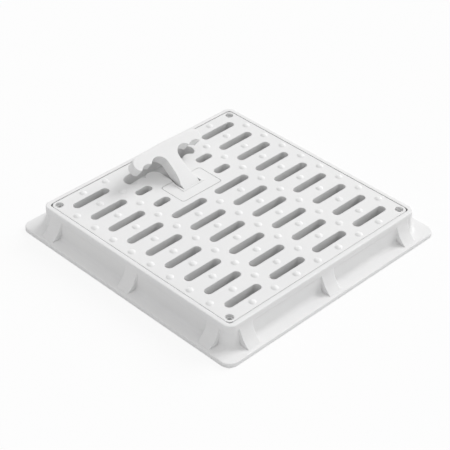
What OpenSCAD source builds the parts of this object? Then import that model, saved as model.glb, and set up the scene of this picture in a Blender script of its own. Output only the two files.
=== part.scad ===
// Grated access cover: a square slotted grate in a flanged frame, with a T handle
// that folds into a tray of its own shape. Millimetres, +Z up, the base plane
// at z = 0 and the frame centred on the Z axis. The slots run along X.

/* [Frame] */
// Outside width of the frame at its rim
frame_side = 300; // [292:1:312]
// Height of the frame from its base to the rim
frame_h = 34; // [32:0.5:46]
// Corner radius of the rim seen from above
rim_r = 10; // [8:0.5:14]
// Width of the flat rim round the grate
rim_w = 5.8; // [5:0.1:7]
// Radius of the rim's outer top edge
rim_edge_r = 1.5; // [0.8:0.1:2.5]
// Height of the upright band below the rim
band_h = 8.5; // [6:0.5:11]
// How far the wall stands back below the band
band_step = 0.6; // [0.2:0.1:1]
// How far the wall leans out from the band down to the flange
wall_lean = 1.6; // [0.5:0.1:2.5]
// Thickness of the wall at its foot
wall_t = 4; // [3:0.1:4.5]
// Radius where the wall runs into the flange
root_r = 5; // [3:0.5:7]

/* [Base flange] */
// How far the flange stands out from the rim
flange_reach = 18; // [17:0.5:26]
// Thickness of the flange
flange_t = 5; // [4:0.1:6.5]
// Corner radius of the flange seen from above
flange_r = 12; // [8:0.5:18]
// Radius of the flange's top edge
flange_edge_r = 1; // [0.5:0.1:1.5]

/* [Gussets] */
// Number of gussets on each side
gusset_n = 3; // [2:1:4]
// Width of a gusset at its outer end
gusset_w = 18; // [12:0.5:22]
// How far a gusset reaches out from the rim at its foot
gusset_reach = 13.8; // [11:0.1:16]
// Distance from the rim down to the top of a gusset
gusset_drop = 6.6; // [5:0.1:10]
// Radius of the hollow front of a gusset
gusset_arc_r = 34; // [26:1:60]
// Distance from the frame's edge to the middle of the end gussets
gusset_inset = 24; // [20:0.5:34]
// Radius where a gusset's sides run into the wall
gusset_flare_r = 2; // [1:0.5:6]

/* [Ledge and channel] */
// Width of the ledge that carries the grate
ledge_w = 8; // [7:0.5:12]
// Thickness of the ledge
ledge_t = 4; // [3:0.5:6]
// Thickness of the skirt that hangs from the ledge
skirt_t = 3; // [2.5:0.1:4]
// Thickness of the cross ribs in the channel below the ledge
channel_rib_t = 3; // [2:0.1:5]
// Radius of the four screw posts
post_r = 7; // [6:0.5:8]
// Diameter of the pilot hole in a screw post
pilot_d = 4.2; // [3.5:0.1:5]
// Depth of the pilot hole
pilot_depth = 11; // [6:0.5:11.5]

/* [Grate] */
// Overall depth of the grate
grate_h = 20; // [19.5:0.5:22]
// Gap between the grate and the frame on each side
grate_gap = 0.6; // [0.4:0.1:1.5]
// Corner radius of the grate
grate_r = 7; // [5.5:0.5:9]
// Radius of the grate's top edge
grate_edge_r = 0.8; // [0.4:0.1:1.5]
// Thickness of the grate's top plate
plate_t = 5; // [4:0.1:6]
// Thickness of the skirt round the grate
grate_skirt_t = 3.5; // [2.5:0.1:4.5]
// Thickness of the ribs between the rows and columns
rib_t = 2.8; // [2:0.1:3.5]

/* [Slots] */
// Number of rows of slots
slot_rows = 9; // [9:1:10]
// Number of columns of slots
slot_cols = 4; // [4:1:4]
// Width of a slot
slot_w = 10.5; // [8:0.1:12]
// Solid length left between the ends of two slots in a row
slot_land = 16; // [14:0.5:20]
// Margin between the grate's edge and the first row's cell
row_margin = 7.25; // [5:0.05:9]
// Margin between the grate's edge and the first column's cell
col_margin = 8.4; // [6:0.1:10]
// Thickness of the collar that walls a slot below the plate
collar_t = 2.8; // [2:0.1:3.2]

/* [Studs and screw holes] */
// Diameter of an anti-slip stud
stud_d = 9; // [6:0.5:10]
// Height of a stud
stud_h = 1.4; // [0.8:0.1:2]
// Distance from the grate's edge to the outermost studs
stud_inset = 8.4; // [6:0.1:10]
// Distance from the grate's edge to a screw hole
screw_inset = 7.6; // [6.9:0.1:8.3]
// Diameter of a screw hole
screw_d = 5.8; // [4.5:0.1:6.5]
// Diameter of the recess for a screw's head
sink_d = 9.6; // [9:0.1:11.4]
// Depth of the recess for a screw's head
sink_depth = 3.6; // [2:0.1:4]
// Wall of the sleeve round the recess for a screw's head
sleeve_t = 1.5; // [1:0.1:1.8]

/* [T handle] */
// Angle of the handle above its folded place
handle_lift = 36.5; // [0:0.5:48]
// Length from the hinge axis to the crown of the handle
handle_len = 62.5; // [60:0.5:66]
// Depth of the handle, from its top face to its underside
handle_t = 15; // [14:0.5:16]
// Depth of the hinge axis below the top face
hinge_drop = 7.5; // [7:0.1:8]
// Width of the stem
stem_w = 17.6; // [14:0.1:20]
// Width of the stem at the hinge
stem_base_w = 24.6; // [23:0.1:26]
// Length over which the stem widens towards the hinge
flare_len = 26; // [22:0.5:28]
// Half the distance between the centres of the head's round ends
lobe_x = 43; // [41:0.5:46]
// Radius of the head's round ends
lobe_r = 8.6; // [8:0.1:9.5]
// Radius of the crowned outer edge of the head
crown_r = 366; // [250:1:600]
// Radius of the four finger hollows
finger_r = 11.5; // [10.5:0.1:12]
// Distance between the two finger hollows on each side of the stem
finger_pitch = 16.5; // [15:0.1:18]
// Distance from the crown to the centres of the inner hollows
finger_back = 24.2; // [23:0.1:26]
// How far the outer hollows stand back from the inner ones
finger_step = 2.4; // [1:0.1:3]
// Thickness of the handle's shell
shell_t = 3; // [2.2:0.1:4]
// Thickness of the ribs inside the handle
handle_rib_t = 2.4; // [1.8:0.1:3]

/* [Hinge] */
// Clearance between the handle and its opening
handle_clear = 1.6; // [1:0.1:2.5]
// Margin between the handle's opening and the grate's edge
handle_margin = 14.5; // [12:0.1:17]
// Wall of the handle's tray below the plate
well_t = 3; // [2:0.1:3.5]
// Thickness of the tray's floor
floor_t = 3; // [2:0.1:3]
// Gap between the folded handle and the tray's floor
floor_gap = 0.4; // [0.3:0.1:1]
// Diameter of a trunnion
trunnion_d = 6; // [5:0.1:6.6]
// Length of a trunnion beyond the stem
trunnion_len = 10; // [7:0.5:11]
// Radial clearance of a trunnion in its seat
trunnion_fit = 0.05; // [0.02:0.01:0.1]

/* [Retainer plate] */
// Width of the retainer plate
retainer_w = 61; // [58:0.5:62]
// Length of the retainer plate in front of the hinge axis
retainer_front = 21.5; // [20:0.5:23]
// Length of the retainer plate behind the hinge axis
retainer_back = 15.5; // [13:0.5:17]
// Thickness of the retainer plate
retainer_t = 3; // [2.5:0.1:3.3]
// Corner radius of the retainer plate
retainer_r = 3; // [2:0.5:4]
// Gap round the retainer plate
retainer_gap = 0.5; // [0.2:0.05:0.8]
// How far the plate's front edge covers the knuckle from the axis
lip_at = 5; // [4.6:0.1:5.4]
// Height of the raised border round the hinge opening
border_h = 0.5; // [0.2:0.1:0.8]
// Width of the raised border
border_w = 2.5; // [1.5:0.1:3]
// Width of a snap leg
leg_w = 8; // [5:0.5:9]
// Thickness of a snap leg
leg_t = 1.8; // [1.4:0.1:2.2]
// How far a snap leg's barb stands out
barb = 0.8; // [0.5:0.1:1]

/* [Hidden] */
$fn = 64;
eps = 0.5;

// Levels and places that follow from the sizes above
seat_z = frame_h - grate_h;
opening_side = frame_side - 2 * rim_w;
clear_side = opening_side - 2 * ledge_w;
clear_r = 8;
flange_side = frame_side + 2 * flange_reach;
grate_side = opening_side - 2 * grate_gap;
plate_z = frame_h - plate_t;
screw_at = grate_side / 2 - screw_inset;
row_pitch = (grate_side - 2 * row_margin) / slot_rows;
col_pitch = (grate_side - 2 * col_margin) / slot_cols;
slot_l = col_pitch - slot_land;
slot_end = slot_l / 2;
stud_edge = grate_side / 2 - stud_inset;
stud_sphere_r = (pow(stud_d / 2, 2) + pow(stud_h, 2)) / (2 * stud_h);

// Hinge place, knuckle and handle
hinge_y = grate_side / 2 - handle_margin - handle_clear - handle_len;
hinge_z = frame_h - hinge_drop;
knuckle_r = hinge_drop;
knuckle_clear = 0.4;
well_front = knuckle_r + 1;
foot_len = 8;
flare_in = (stem_base_w - stem_w) / 2;
flare_r = (pow(flare_in, 2) + pow(flare_len - foot_len, 2)) / (2 * flare_in);
lobe_y = handle_len - crown_r + sqrt(pow(crown_r - lobe_r, 2) - pow(lobe_x, 2));
crown_x = lobe_x * crown_r / (crown_r - lobe_r);
finger_x = stem_w / 2 + finger_r;
finger_y = handle_len - finger_back;
trunnion_end = stem_base_w / 2 + trunnion_len;
seat_end = trunnion_end + 1;
floor_z = frame_h - handle_t - floor_gap;
foot_room = 2.5;
border_back = 9;

// Slots stop short of the retainer plate, and none crosses the handle's head
short_x = retainer_w / 2 + 6;
head_low = hinge_y + finger_y - 2;
zone_low = hinge_y - retainer_front - 2;
slot_min = 1.5 * slot_w;

// Hinge pad below the retainer plate
pocket_z = frame_h - retainer_t;
pad_t = 6;
pad_z = pocket_z - pad_t;
pad_edge = 2.6;
retainer_mid = (retainer_back - retainer_front) / 2;
retainer_l = retainer_front + retainer_back;
bearing_wall = 2.5;
front_leg_x = 20;
front_leg_y = -15;
side_leg_x = 27.5;
side_leg_y = 1;
leg_gap = 0.7;
leg_drop = pad_t + 0.3;
barb_h = 2;

function slot_x(col) = (col - (slot_cols - 1) / 2) * col_pitch;
function slot_y(row) = ((slot_rows - 1) / 2 - row) * row_pitch;
function in_zone(y) = y > zone_low;
function at_head(y) = y > head_low;
function inner_end(x, y) = in_zone(y) ? max(abs(x) - slot_end, short_x) : abs(x) - slot_end;
function slot_kept(x, y) = abs(x) - slot_end > lobe_x || !at_head(y);
function stud_line(i) = i == 0 ? stud_edge
    : i == slot_rows ? -stud_edge
    : (slot_rows / 2 - i) * row_pitch;
function stud_kept(x, y) = !(abs(x) < short_x && y > zone_low)
    && !(abs(x) > screw_at - stud_d && abs(y) > screw_at - stud_d);

// Flat outlines

module round_rect(w, l, r) {
    square([w - 2 * r, l], center = true);
    square([w, l - 2 * r], center = true);
    for (sx = [-1, 1], sy = [-1, 1])
        translate([sx * (w / 2 - r), sy * (l / 2 - r)]) circle(r);
}

// A slot between two distances from the Y axis, on one side of it
module slot_outline(x0, x1, w) {
    translate([x0 + w / 2, -w / 2]) square([x1 - x0 - w, w]);
    for (x = [x0 + w / 2, x1 - w / 2]) translate([x, 0]) circle(w / 2);
}

// All slots, grown by a collar when grow is above zero
module slots(grow) {
    for (col = [0 : slot_cols - 1], row = [0 : slot_rows - 1]) {
        x = slot_x(col);
        y = slot_y(row);
        x0 = inner_end(x, y);
        x1 = abs(x) + slot_end;
        if (slot_kept(x, y) && x1 - x0 >= slot_min)
            translate([0, y]) mirror([x < 0 ? 1 : 0, 0, 0])
                slot_outline(x0 - grow, x1 + grow, slot_w + 2 * grow);
    }
}

// The widening foot of the stem, from its front edge to where it is straight
module stem_foot(grow, front) {
    w = stem_base_w + 2 * grow;
    r = flare_r - grow;
    difference() {
        translate([-w / 2, -front]) square([w, flare_len + front]);
        for (s = [0, 1]) mirror([s, 0, 0])
            translate([stem_w / 2 + flare_r, flare_len]) intersection() {
                circle(r, $fn = 128);
                translate([-r - 1, foot_len - flare_len]) square([r + 1, flare_len]);
            }
    }
}

// The head: a crowned bar with round ends and two finger hollows on each side
module head_outline(grow) {
    end = crown_x * (crown_r + grow) / crown_r;
    difference() {
        union() {
            intersection() {
                translate([-end, lobe_y - lobe_r - grow]) square([2 * end, handle_len]);
                translate([0, handle_len - crown_r]) circle(crown_r + grow, $fn = 256);
            }
            translate([-finger_x, finger_y]) square([2 * finger_x, lobe_y - finger_y]);
            for (s = [-1, 1]) translate([s * lobe_x, lobe_y]) circle(lobe_r + grow);
        }
        for (s = [-1, 1]) {
            translate([s * finger_x, finger_y]) circle(finger_r - grow);
            translate([s * (finger_x + finger_pitch), finger_y - finger_step])
                circle(finger_r - grow);
        }
    }
}

// The whole handle seen from above, its hinge axis along X through the origin
module handle_outline(grow, front) {
    stem_foot(grow, front);
    translate([-stem_w / 2 - grow, 0]) square([stem_w + 2 * grow, finger_y]);
    head_outline(grow);
}

module retainer_outline(grow) {
    translate([0, retainer_mid])
        round_rect(retainer_w + 2 * grow, retainer_l + 2 * grow, retainer_r + grow);
}

// Sweeps a profile round a square with rounded corners; the profile's x runs
// outwards from the centres of the corners and its y runs up
module sweep_square(half, r) {
    for (a = [0, 90, 180, 270]) rotate(a) translate([half - r, 0, 0]) {
        rotate([90, 0, 0]) linear_extrude(2 * (half - r), center = true) children();
        translate([0, half - r, 0]) rotate_extrude(angle = 90, $fn = 96) children();
    }
}

// Frame

module wall_profile() {
    band_z = frame_h - band_h;
    face = rim_r - band_step;
    lean = atan(wall_lean / (band_z - flange_t));
    root_z = flange_t + root_r - root_r * sin(lean);
    root_x = face + (band_z - root_z) * tan(lean);
    root_cx = root_x + root_r * cos(lean);
    inner = rim_r - rim_w;
    difference() {
        polygon([
            [inner, frame_h], [rim_r - rim_edge_r, frame_h],
            [rim_r - rim_edge_r, frame_h - rim_edge_r], [rim_r, frame_h - rim_edge_r],
            [rim_r, band_z], [face, band_z], [root_x, root_z],
            [root_cx, flange_t], [root_cx, flange_t - eps], [root_x, 0],
            [rim_r - wall_t, 0], [rim_r - wall_t, seat_z - eps], [inner, seat_z - eps]
        ]);
        translate([root_cx, flange_t + root_r]) circle(root_r);
    }
    translate([rim_r - rim_edge_r, frame_h - rim_edge_r]) circle(rim_edge_r);
}

module flange_edge_profile() {
    square([flange_r, flange_t - flange_edge_r]);
    square([flange_r - flange_edge_r, flange_t]);
    translate([flange_r - flange_edge_r, flange_t - flange_edge_r]) circle(flange_edge_r);
}

module flange() {
    core = flange_side - 2 * flange_r;
    hole = frame_side - 2 * wall_t;
    sweep_square(flange_side / 2, flange_r) flange_edge_profile();
    linear_extrude(flange_t) difference() {
        square(core, center = true);
        round_rect(hole, hole, rim_r - wall_t);
    }
}

// Side view of a gusset: its hollow front passes through its top and its toe
module gusset_side() {
    top = [frame_side / 2, frame_h - gusset_drop];
    toe = [frame_side / 2 + gusset_reach, flange_t];
    chord = norm(toe - top);
    out = [top.y - toe.y, toe.x - top.x] / chord;
    centre = (top + toe) / 2 + out * sqrt(pow(gusset_arc_r, 2) - pow(chord / 2, 2));
    root = frame_side / 2 - wall_t + 1;
    difference() {
        translate([root, flange_t - 1]) square([toe.x - root, top.y - flange_t + 1]);
        translate(centre) circle(gusset_arc_r, $fn = 128);
    }
}

// A gusset seen from above, with flared roots at the wall
module gusset_plan() {
    root = frame_side / 2 - wall_t + 1;
    wall = frame_side / 2 - band_step;
    reach = frame_side / 2 + gusset_reach + 1;
    w = gusset_w / 2;
    translate([root, -w]) square([reach - root, 2 * w]);
    for (s = [-1, 1]) difference() {
        translate([root, s > 0 ? w - eps : -w - gusset_flare_r])
            square([wall + gusset_flare_r - root, gusset_flare_r + eps]);
        translate([wall + gusset_flare_r, s * (w + gusset_flare_r)]) circle(gusset_flare_r);
    }
}

module gusset() {
    intersection() {
        rotate([90, 0, 0]) linear_extrude(gusset_w + 3 * gusset_flare_r, center = true)
            gusset_side();
        linear_extrude(frame_h) gusset_plan();
    }
}

module channel_rib() {
    inner = clear_side / 2 + skirt_t - eps;
    outer = frame_side / 2 - wall_t + eps;
    translate([inner, -channel_rib_t / 2, 0])
        cube([outer - inner, channel_rib_t, seat_z - ledge_t + eps]);
}

module ledge() {
    outer = opening_side + 1;
    skirt_side = clear_side + 2 * skirt_t;
    translate([0, 0, seat_z - ledge_t]) linear_extrude(ledge_t) difference() {
        round_rect(outer, outer, rim_r - rim_w + 0.5);
        round_rect(clear_side, clear_side, clear_r);
    }
    linear_extrude(seat_z - ledge_t / 2) difference() {
        round_rect(skirt_side, skirt_side, clear_r + skirt_t);
        round_rect(clear_side, clear_side, clear_r);
    }
}

module frame() {
    first = frame_side / 2 - gusset_inset;
    color("white") difference() {
        union() {
            sweep_square(frame_side / 2, rim_r) wall_profile();
            flange();
            ledge();
            for (a = [0, 90, 180, 270], i = [0 : gusset_n - 1])
                rotate(a) translate([0, first - 2 * first * i / (gusset_n - 1), 0]) {
                    gusset();
                    channel_rib();
                }
            for (sx = [-1, 1], sy = [-1, 1])
                translate([sx * screw_at, sy * screw_at, 0]) cylinder(r = post_r, h = seat_z);
        }
        for (sx = [-1, 1], sy = [-1, 1])
            translate([sx * screw_at, sy * screw_at, seat_z - pilot_depth])
                cylinder(d = pilot_d, h = pilot_depth + eps);
    }
}

// Grate

module grate_skirt_profile() {
    inner = grate_r - grate_skirt_t;
    translate([inner, seat_z]) square([grate_skirt_t, grate_h - grate_edge_r]);
    translate([inner, seat_z]) square([grate_skirt_t - grate_edge_r, grate_h]);
    translate([grate_r - grate_edge_r, frame_h - grate_edge_r]) circle(grate_edge_r);
}

module grate_ribs() {
    span = grate_side - grate_skirt_t;
    for (i = [1 : slot_rows - 1])
        translate([0, (slot_rows / 2 - i) * row_pitch]) square([span, rib_t], center = true);
    for (i = [1 : slot_cols - 1])
        translate([(i - slot_cols / 2) * col_pitch, 0]) square([rib_t, span], center = true);
}

// A shallow dome that stands on the plate
module stud() {
    rotate_extrude($fn = 48) intersection() {
        translate([0, stud_h - stud_sphere_r]) circle(stud_sphere_r, $fn = 96);
        translate([0, -eps]) square([stud_d, stud_h + 2 * eps]);
    }
}

module studs() {
    for (i = [0 : slot_rows], j = [0 : 2 * slot_cols]) {
        x = (j - slot_cols) * col_pitch / 2;
        y = stud_line(i);
        if (stud_kept(x, y)) translate([x, y, frame_h]) stud();
    }
}

// Solid pad and bearing blocks that carry the hinge
module hinge_pad() {
    x0 = stem_base_w / 2 + handle_clear;
    l = seat_end + bearing_wall - x0;
    translate([0, hinge_y, pad_z]) linear_extrude(pad_t + eps) retainer_outline(pad_edge);
    for (s = [-1, 1]) translate([s > 0 ? x0 : -x0 - l, hinge_y - l / 2, seat_z])
        cube([l, l, grate_h - retainer_t]);
}

// Room for the handle's foot, which swings back as the handle is raised
module foot_plan(grow) {
    w = stem_base_w + 2 * (handle_clear + grow);
    translate([-w / 2, -well_front - grow])
        square([w, well_front + knuckle_r + foot_room + 2 * grow]);
}

// A trunnion's seat: a round bottom with an open top
module trunnion_seats() {
    r = trunnion_d / 2 + trunnion_fit;
    translate([0, hinge_y, hinge_z]) rotate([0, 90, 0])
        cylinder(r = r, h = 2 * seat_end, center = true);
    translate([-seat_end, hinge_y - r, hinge_z]) cube([2 * seat_end, 2 * r, hinge_drop]);
}

module leg_slots() {
    w = leg_w + leg_gap;
    t = leg_t + barb + leg_gap;
    h = pad_t + 2 * eps;
    for (s = [-1, 1]) {
        translate([s * front_leg_x - w / 2, hinge_y + front_leg_y - t / 2 - barb / 2, pad_z - eps])
            cube([w, t, h]);
        translate([s * (side_leg_x + barb / 2) - t / 2, hinge_y + side_leg_y - w / 2, pad_z - eps])
            cube([t, w, h]);
    }
}

module screw_holes() {
    for (sx = [-1, 1], sy = [-1, 1]) translate([sx * screw_at, sy * screw_at, 0]) {
        translate([0, 0, seat_z - eps]) cylinder(d = screw_d, h = grate_h + 2 * eps);
        translate([0, 0, frame_h - sink_depth])
            cylinder(d = sink_d, h = sink_depth + eps);
    }
}

module grate() {
    flat = grate_side - grate_skirt_t;
    color("white") difference() {
        union() {
            sweep_square(grate_side / 2, grate_r) grate_skirt_profile();
            translate([0, 0, plate_z]) linear_extrude(plate_t)
                round_rect(flat, flat, grate_r - grate_skirt_t / 2);
            translate([0, 0, seat_z]) linear_extrude(grate_h - plate_t / 2) {
                slots(collar_t);
                grate_ribs();
                translate([0, hinge_y]) handle_outline(handle_clear + well_t, well_front + well_t);
                translate([0, hinge_y]) foot_plan(well_t);
                for (sx = [-1, 1], sy = [-1, 1])
                    translate([sx * screw_at, sy * screw_at]) circle(sink_d / 2 + sleeve_t);
            }
            hinge_pad();
            studs();
        }
        translate([0, 0, seat_z - eps]) linear_extrude(grate_h + 2 * eps) slots(0);
        translate([0, hinge_y, floor_z]) linear_extrude(handle_t + floor_gap + eps)
            handle_outline(handle_clear, well_front);
        translate([0, hinge_y, seat_z - eps]) linear_extrude(floor_z - floor_t - seat_z + eps)
            handle_outline(handle_clear, well_front);
        translate([0, hinge_y, floor_z]) linear_extrude(pocket_z - floor_z + eps) foot_plan(0);
        translate([0, hinge_y, pocket_z]) linear_extrude(retainer_t + eps)
            retainer_outline(retainer_gap);
        trunnion_seats();
        leg_slots();
        screw_holes();
    }
}

// Handle

// Side view: a flat-topped bar that ends in a round knuckle at the hinge
module handle_side() {
    low = hinge_drop - handle_t;
    heel = 14;
    circle(knuckle_r);
    polygon([
        [0, hinge_drop], [handle_len + 2, hinge_drop], [handle_len + 2, low],
        [heel, low], [0, -knuckle_r]
    ]);
}

// Hollow below the top skin, left open underneath
module handle_hollow() {
    low = hinge_drop - handle_t;
    start = 16;
    translate([0, 0, low - eps]) linear_extrude(handle_t - shell_t + eps) intersection() {
        handle_outline(-shell_t, 0);
        translate([-2 * lobe_x, start]) square([4 * lobe_x, handle_len]);
    }
}

module handle_ribs() {
    low = hinge_drop - handle_t + 2;
    h = handle_t - shell_t - 1;
    for (s = [-1, 0, 1])
        translate([s * finger_x - handle_rib_t / 2, finger_y + finger_r - 1, low])
            cube([handle_rib_t, handle_len - finger_y - finger_r, h]);
    for (y = [flare_len + 4, finger_y + 1])
        translate([-stem_w / 2 + 1, y, low]) cube([stem_w - 2, handle_rib_t, h]);
}

module handle_flat() {
    difference() {
        intersection() {
            translate([0, 0, -handle_t]) linear_extrude(2 * handle_t)
                handle_outline(0, knuckle_r + eps);
            rotate([90, 0, 90]) linear_extrude(4 * lobe_x, center = true) handle_side();
        }
        handle_hollow();
    }
    intersection() {
        handle_ribs();
        translate([0, 0, -handle_t]) linear_extrude(2 * handle_t) handle_outline(-1, 0);
    }
    rotate([0, 90, 0]) cylinder(d = trunnion_d, h = 2 * trunnion_end, center = true);
}

module handle() {
    color("white") translate([0, hinge_y, hinge_z]) rotate([handle_lift, 0, 0]) handle_flat();
}

// Retainer plate that snaps in over the trunnions

// Side view of a snap leg, its barb towards +X
module leg_profile() {
    translate([-leg_t / 2, -leg_drop - barb_h]) square([leg_t, leg_drop + barb_h + 1]);
    polygon([
        [0, -leg_drop], [leg_t / 2 + barb, -leg_drop],
        [leg_t / 2, -leg_drop - barb_h], [0, -leg_drop - barb_h]
    ]);
}

module snap_leg() {
    rotate([90, 0, 0]) linear_extrude(leg_w, center = true) leg_profile();
}

module snap_legs() {
    for (s = [-1, 1]) {
        translate([s * front_leg_x, front_leg_y, 0]) rotate(-90) snap_leg();
        translate([s * side_leg_x, side_leg_y, 0]) rotate(s > 0 ? 0 : 180) snap_leg();
    }
}

// Pads that close the open tops of the trunnion seats
module saddles() {
    w = trunnion_d - 0.4;
    x0 = stem_base_w / 2 + handle_clear + 0.4;
    low = hinge_z - pocket_z;
    for (s = [-1, 1])
        translate([s > 0 ? x0 : -trunnion_end, -w / 2, low])
            cube([trunnion_end - x0, w, -low + 1]);
}

module handle_retainer() {
    color("white") translate([0, hinge_y, pocket_z]) difference() {
        union() {
            linear_extrude(retainer_t) retainer_outline(0);
            linear_extrude(retainer_t + border_h) intersection() {
                handle_outline(handle_clear + border_w, lip_at + border_w);
                translate([-stem_base_w, -lip_at - border_w])
                    square([2 * stem_base_w, lip_at + border_w + border_back]);
            }
            snap_legs();
            saddles();
        }
        translate([0, 0, -eps]) linear_extrude(retainer_t + border_h + 2 * eps)
            handle_outline(handle_clear, lip_at);
        translate([0, 0, hinge_z - pocket_z]) rotate([0, 90, 0]) {
            cylinder(r = knuckle_r + knuckle_clear, h = stem_base_w + 2 * handle_clear, center = true);
            cylinder(r = trunnion_d / 2 + trunnion_fit, h = 2 * seat_end, center = true);
        }
    }
}

frame();
grate();
handle();
handle_retainer();
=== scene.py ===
import math

import bpy
from mathutils import Matrix, Vector


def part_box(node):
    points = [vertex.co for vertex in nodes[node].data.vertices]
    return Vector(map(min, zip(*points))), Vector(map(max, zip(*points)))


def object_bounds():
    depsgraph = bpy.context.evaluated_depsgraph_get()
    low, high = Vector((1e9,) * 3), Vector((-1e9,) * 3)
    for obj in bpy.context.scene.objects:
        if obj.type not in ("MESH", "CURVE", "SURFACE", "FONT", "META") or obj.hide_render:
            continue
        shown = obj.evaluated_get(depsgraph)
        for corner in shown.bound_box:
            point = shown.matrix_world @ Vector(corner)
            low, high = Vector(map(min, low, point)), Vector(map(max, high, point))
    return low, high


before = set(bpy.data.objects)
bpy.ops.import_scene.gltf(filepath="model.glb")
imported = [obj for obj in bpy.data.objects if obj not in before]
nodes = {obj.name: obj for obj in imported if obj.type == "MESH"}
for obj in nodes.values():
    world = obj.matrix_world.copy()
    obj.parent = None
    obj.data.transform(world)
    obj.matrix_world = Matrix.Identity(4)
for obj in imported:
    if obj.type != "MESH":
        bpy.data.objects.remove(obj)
cad_box = [list(c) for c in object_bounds()]
scene = bpy.context.scene
top_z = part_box("frame")[1].z

# Camera: a long lens on the cover's near corner, as in the photograph
CAM_AZIMUTH = -45.5738
CAM_ELEVATION = 36.7504
CAM_ROLL = 1.0743
CAM_DISTANCE = 1.7180
CAM_RIGHT = -0.00495
CAM_UP = -0.02023
CAM_NEAR = 0.05
CAM_FAR = 50
LENS_MM = 121.33
SENSOR_MM = 36.0

# Light: the level from all round, what is added from above and from the sides, and the key lamp
ROOM_LIGHT = 0.1
ROOM_SIDES = (
    ((0, 0, 1), 0.68),
    ((1, 0, 0), 0.15),
    ((-1, 0, 0), 0.3),
    ((0, -1, 0), 0.12),
)
KEY_LIGHT = 1.9
KEY_SPREAD = 34
KEY_FROM = (0.843, -0.09, 0.53)

# Floor: its white, the share of it seen as plain white, and the painted shade of its white below the
# cover
FLOOR_WHITE = 0.87
FLOOR_GLOW = 0.86
SHADE_BELOW_COVER = 0.12
COVER_EDGE = (0.006, 0.002)
FLOOR_HALF = 4.0
FLOOR_Z = -0.0005
PLAIN_WHITE = (1, 1, 1, 1)

# Noises: scale per metre, detail and roughness of each pattern in the plastic
FLOW_NOISE = (9.0, 3.0, 0.5)
EDGE_PATCH_NOISE = (120.0, 4.0, 0.6)
POLISH_NOISE = (60.0, 4.0, 0.6)
GRAIN_NOISE = (1400.0, 2.0, 0.55)

# Plastic: the two ends of its slow shade changes, and how it mirrors and scatters light
SKIN_COOL = (0.815, 0.815, 0.817, 1)
SKIN_WARM = (0.845, 0.844, 0.842, 1)
SKIN_STOPS = (0.3, 0.7)
SKIN_IOR = 1.46
SKIN_SPECULAR = 0.35
SCATTER_WEIGHT = 0.3
SCATTER_RADIUS = (1.0, 1.0, 1.0)
SCATTER_DEPTH = 0.003

# Edges: the radius that the moulding gives them, and how pale and how patchy their painted highlight is
EDGE_RADIUS = 0.001
EDGE_SAMPLES = 6
PAINTED_EDGE_HIGHLIGHT = (0.885, 0.885, 0.883, 1)
EDGE_TURN = (0.985, 0.85)
EDGE_PATCH_RANGE = (0.35, 0.6)
EDGE_PATCH_LEAST = 0.3

# Nooks: painted shade, how dark the skin is painted in the depths of slots and corners, by how open its
# place is
NOOK_SHADE = 0.68
NOOK_REACH = 0.06
NOOK_DEEP = 0.1
NOOK_OPEN = 0.36
NOOK_SAMPLES = 8

# Joints: painted shade, how dark the narrow gaps between two mouldings are painted, by how open they
# are
JOINT_SHADE = 0.12
JOINT_REACH = 0.004
JOINT_DEEP = 0.0
JOINT_OPEN = 0.4
JOINT_SAMPLES = 6

# Recess floor: painted shade, how dark it is painted where the stem meets the head, and how far from
# there
RECESS_SHADE = 0.6
RECESS_MIDDLE = (0.007, 0.115, 0.0186)
RECESS_REACH = 0.030
RECESS_CORE = 0.6
RECESS_TOP_Z = 0.0215
RECESS_FADE_Z = 0.001
LEVEL_FACE = (0.6, 0.95)

# Roughness: of the finer and the coarser skin, and what a highlighted edge adds
ROUGH_FINE = 0.42
ROUGH_COARSE = 0.56
ROUGH_EDGES = -0.1

# Relief: strength and depth of the mould's grain
GRAIN_STRENGTH = 0.06
GRAIN_DEPTH = 0.0002

# Sockets of a colour mix node
MIX_A = 6
MIX_B = 7
MIX_RESULT = 2


def make_camera():
    az = math.radians(CAM_AZIMUTH)
    el = math.radians(CAM_ELEVATION)
    roll = math.radians(CAM_ROLL)
    back = Vector((math.sin(az) * math.cos(el), -math.cos(az) * math.cos(el), math.sin(el)))
    level = Vector((0, 0, 1)).cross(back).normalized()
    upright = back.cross(level)
    right = level * math.cos(roll) + upright * math.sin(roll)
    up = upright * math.cos(roll) - level * math.sin(roll)
    data = bpy.data.cameras.new("camera")
    data.sensor_width = SENSOR_MM
    data.lens = LENS_MM
    data.clip_start = CAM_NEAR
    data.clip_end = CAM_FAR
    camera = bpy.data.objects.new("camera", data)
    scene.collection.objects.link(camera)
    place = Vector((0, 0, top_z)) + back * CAM_DISTANCE + right * CAM_RIGHT + up * CAM_UP
    turn = Matrix((right, up, back)).transposed()
    camera.matrix_world = Matrix.Translation(place) @ turn.to_4x4()
    scene.camera = camera


def put(tree, value, socket):
    """Gives a socket a constant, or links another node's output to it."""
    if isinstance(value, bpy.types.NodeSocket):
        tree.links.new(value, socket)
    else:
        socket.default_value = value


def node(tree, kind, **inputs):
    """A new node with its named inputs filled; an underscore stands for a space."""
    made = tree.nodes.new(kind)
    for key, value in inputs.items():
        put(tree, value, made.inputs[key.replace("_", " ")])
    return made


def math_node(tree, operation, *values, kind="ShaderNodeMath"):
    made = tree.nodes.new(kind)
    made.operation = operation
    for socket, value in zip(made.inputs, values):
        put(tree, value, socket)
    return made.outputs["Value"]


def vector_node(tree, operation, *values):
    return math_node(tree, operation, *values, kind="ShaderNodeVectorMath")


def map_range(tree, value, start, end, to_start=0.0, to_end=1.0):
    made = node(tree, "ShaderNodeMapRange", Value=value, From_Min=start, From_Max=end)
    made.inputs["To Min"].default_value = to_start
    made.inputs["To Max"].default_value = to_end
    return made.outputs["Result"]


def mix_colour(tree, blend_type, factor, first, second):
    made = node(tree, "ShaderNodeMix", Factor=factor)
    made.data_type = "RGBA"
    made.blend_type = blend_type
    put(tree, first, made.inputs[MIX_A])
    put(tree, second, made.inputs[MIX_B])
    return made.outputs[MIX_RESULT]


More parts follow.
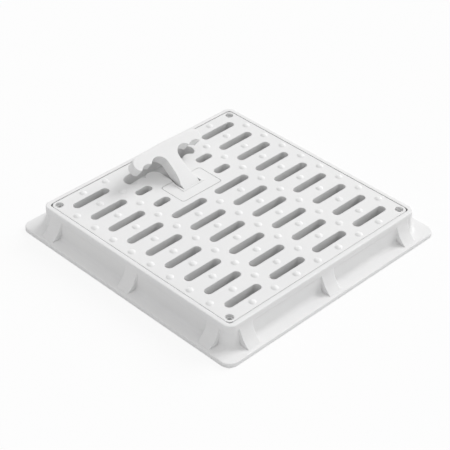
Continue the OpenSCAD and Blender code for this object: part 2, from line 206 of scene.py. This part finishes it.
def ramp(tree, value, first, second, stops=(0.0, 1.0)):
    made = node(tree, "ShaderNodeValToRGB", Fac=value)
    for element, stop, colour in zip(made.color_ramp.elements, stops, (first, second)):
        element.position = stop
        element.color = colour
    return made.outputs["Color"]


def noise(tree, place, pattern):
    scale, detail, roughness = pattern
    made = node(tree, "ShaderNodeTexNoise", Scale=scale, Detail=detail, Roughness=roughness)
    put(tree, place.outputs["Object"], made.inputs["Vector"])
    return made.outputs["Fac"]


def parts_of(tree, vector):
    return node(tree, "ShaderNodeSeparateXYZ", Vector=vector).outputs


def openness(tree, reach, samples, local):
    """How much of what is round a place, up to reach away, is open; local sees one moulding only."""
    made = node(tree, "ShaderNodeAmbientOcclusion", Distance=reach)
    made.samples = samples
    made.only_local = local
    return made.outputs["AO"]


def seen_or_mirrored(tree):
    """1 for what the camera sees, directly, in a gloss or through glass; 0 for light on its way."""
    path = tree.nodes.new("ShaderNodeLightPath").outputs
    mirrored = math_node(tree, "MAXIMUM", path["Is Glossy Ray"], path["Is Transmission Ray"])
    return math_node(tree, "MAXIMUM", path["Is Camera Ray"], mirrored)


def recess_shade(tree, place):
    """Painted shade: darkens the level skin near RECESS_MIDDLE, and no wall and nothing above
    RECESS_TOP_Z.
    """
    height = parts_of(tree, place.outputs["Object"])["Z"]
    facing = parts_of(tree, place.outputs["Normal"])["Z"]
    away = vector_node(tree, "DISTANCE", place.outputs["Object"], RECESS_MIDDLE)
    low = map_range(tree, height, RECESS_TOP_Z + RECESS_FADE_Z, RECESS_TOP_Z)
    level = map_range(tree, facing, *LEVEL_FACE)
    near = map_range(tree, away, RECESS_REACH, RECESS_REACH * RECESS_CORE)
    deep = math_node(tree, "MULTIPLY", math_node(tree, "MULTIPLY", low, level), near)
    return map_range(tree, deep, 0.0, 1.0, 1.0, RECESS_SHADE)


def white_plastic(name, recessed=False):
    """Moulded white plastic: a fine matt skin, slow flow marks, soft edges with a painted highlight,
    and painted shade in nooks, joints and, if recessed, the recess floor.
    """
    m = bpy.data.materials.new(name)
    m.use_nodes = True
    t = m.node_tree
    t.nodes.clear()
    skin = node(
        t,
        "ShaderNodeBsdfPrincipled",
        IOR=SKIN_IOR,
        Specular_IOR_Level=SKIN_SPECULAR,
        Subsurface_Weight=SCATTER_WEIGHT,
        Subsurface_Radius=SCATTER_RADIUS,
        Subsurface_Scale=SCATTER_DEPTH,
    )
    node(t, "ShaderNodeOutputMaterial", Surface=skin.outputs["BSDF"])
    place = t.nodes.new("ShaderNodeTexCoord")

    # Edge highlight: the rounded edges get a painted highlight, paler than the faces, and are smoother,
    # in patches
    edge = node(t, "ShaderNodeBevel", Radius=EDGE_RADIUS)
    edge.samples = EDGE_SAMPLES
    flat = t.nodes.new("ShaderNodeNewGeometry").outputs["True Normal"]
    turn = vector_node(t, "DOT_PRODUCT", edge.outputs["Normal"], flat)
    rounded = map_range(t, turn, *EDGE_TURN)
    patchy = map_range(t, noise(t, place, EDGE_PATCH_NOISE), *EDGE_PATCH_RANGE, EDGE_PATCH_LEAST)
    edge_highlight_and_polish = math_node(t, "MULTIPLY", rounded, patchy)

    # Colour: slow shade changes, a painted highlight on edges, and painted shade in the depths of slots
    # and joints
    colour = ramp(t, noise(t, place, FLOW_NOISE), SKIN_COOL, SKIN_WARM, SKIN_STOPS)
    colour = mix_colour(t, "MIX", edge_highlight_and_polish, colour, PAINTED_EDGE_HIGHLIGHT)
    nook = openness(t, NOOK_REACH, NOOK_SAMPLES, True)
    joint = openness(t, JOINT_REACH, JOINT_SAMPLES, False)
    nook_shade = map_range(t, nook, NOOK_DEEP, NOOK_OPEN, NOOK_SHADE)
    joint_shade = map_range(t, joint, JOINT_DEEP, JOINT_OPEN, JOINT_SHADE)
    colour = mix_colour(t, "MULTIPLY", 1.0, colour, nook_shade)
    colour = mix_colour(t, "MULTIPLY", 1.0, colour, joint_shade)
    # On the grate, painted shade on the recess floor below the handle
    if recessed:
        colour = mix_colour(t, "MULTIPLY", 1.0, colour, recess_shade(t, place))
    put(t, colour, skin.inputs["Base Color"])

    # Roughness: patches of finer and coarser skin, and a little polish on the highlighted edges
    rough = map_range(t, noise(t, place, POLISH_NOISE), 0.0, 1.0, ROUGH_FINE, ROUGH_COARSE)
    put(t, math_node(t, "MULTIPLY_ADD", edge_highlight_and_polish, ROUGH_EDGES, rough), skin.inputs["Roughness"])

    # Relief: the grain of the mould, on edges rounded by the moulding
    bump = node(t, "ShaderNodeBump", Strength=GRAIN_STRENGTH, Distance=GRAIN_DEPTH)
    put(t, noise(t, place, GRAIN_NOISE), bump.inputs["Height"])
    put(t, edge.outputs["Normal"], bump.inputs["Normal"])
    put(t, bump.outputs["Normal"], skin.inputs["Normal"])
    return m


def dress():
    plain = white_plastic("white_plastic")
    grate = white_plastic("white_plastic_grate", recessed=True)
    for name, n in nodes.items():
        n.data.materials.clear()
        n.data.materials.append(grate if name == "grate" else plain)


def make_floor():
    """A plain white floor that keeps a faint shadow, and is painted dark below the cover as painted
    shade.
    """
    reach = (cad_box[1][0] - cad_box[0][0]) / 2
    m = bpy.data.materials.new("floor_white")
    m.use_nodes = True
    t = m.node_tree
    t.nodes.clear()
    place = t.nodes.new("ShaderNodeTexCoord")
    from_middle = parts_of(t, place.outputs["Object"])
    far = math_node(t, "MAXIMUM", *[math_node(t, "ABSOLUTE", from_middle[axis]) for axis in ("X", "Y")])
    outside = map_range(t, far, *[reach - inset for inset in COVER_EDGE])
    # Painted shade: the floor below the cover is dark
    painted_shade_below = (SHADE_BELOW_COVER, SHADE_BELOW_COVER, SHADE_BELOW_COVER, 1)
    pale = (FLOOR_WHITE, FLOOR_WHITE, FLOOR_WHITE, 1)
    matt = node(t, "ShaderNodeBsdfDiffuse", Color=ramp(t, outside, painted_shade_below, pale))
    glow = node(t, "ShaderNodeEmission", Color=PLAIN_WHITE, Strength=1.0)
    seen = math_node(t, "MULTIPLY", seen_or_mirrored(t), FLOOR_GLOW)
    mix = node(t, "ShaderNodeMixShader", Fac=math_node(t, "MULTIPLY", seen, outside))
    put(t, matt.outputs["BSDF"], mix.inputs[1])
    put(t, glow.outputs["Emission"], mix.inputs[2])
    node(t, "ShaderNodeOutputMaterial", Surface=mix.outputs["Shader"])
    mesh = bpy.data.meshes.new("floor")
    corners = [(-1, -1), (1, -1), (1, 1), (-1, 1)]
    mesh.from_pydata([(x * FLOOR_HALF, y * FLOOR_HALF, 0) for x, y in corners], [], [(0, 1, 2, 3)])
    mesh.materials.append(m)
    floor = bpy.data.objects.new("floor", mesh)
    scene.collection.objects.link(floor)
    floor.location.z = FLOOR_Z


def make_light():
    """A room that is brighter from above and seen as plain white, and a broad lamp from +X."""
    world = bpy.data.worlds.new("studio")
    world.use_nodes = True
    t = world.node_tree
    t.nodes.clear()
    place = t.nodes.new("ShaderNodeTexCoord")
    level = ROOM_LIGHT
    for side, strength in ROOM_SIDES:
        facing = vector_node(t, "DOT_PRODUCT", place.outputs["Generated"], side)
        lobe = math_node(t, "MAXIMUM", facing, 0.0)
        level = math_node(t, "MULTIPLY_ADD", lobe, strength, level)
    soft = node(t, "ShaderNodeBackground", Color=PLAIN_WHITE, Strength=level)
    seen = node(t, "ShaderNodeBackground", Color=PLAIN_WHITE, Strength=1.0)
    mix = node(t, "ShaderNodeMixShader", Fac=seen_or_mirrored(t))
    put(t, soft.outputs["Background"], mix.inputs[1])
    put(t, seen.outputs["Background"], mix.inputs[2])
    node(t, "ShaderNodeOutputWorld", Surface=mix.outputs["Shader"])
    scene.world = world

    key = bpy.data.lights.new("key", "SUN")
    key.energy = KEY_LIGHT
    key.angle = math.radians(KEY_SPREAD)
    lamp = bpy.data.objects.new("key", key)
    scene.collection.objects.link(lamp)
    lamp.rotation_mode = "QUATERNION"
    lamp.rotation_quaternion = Vector(KEY_FROM).normalized().to_track_quat("Z", "Y")


make_camera()
dress()
make_floor()
make_light()
scene.view_settings.view_transform = "Standard"
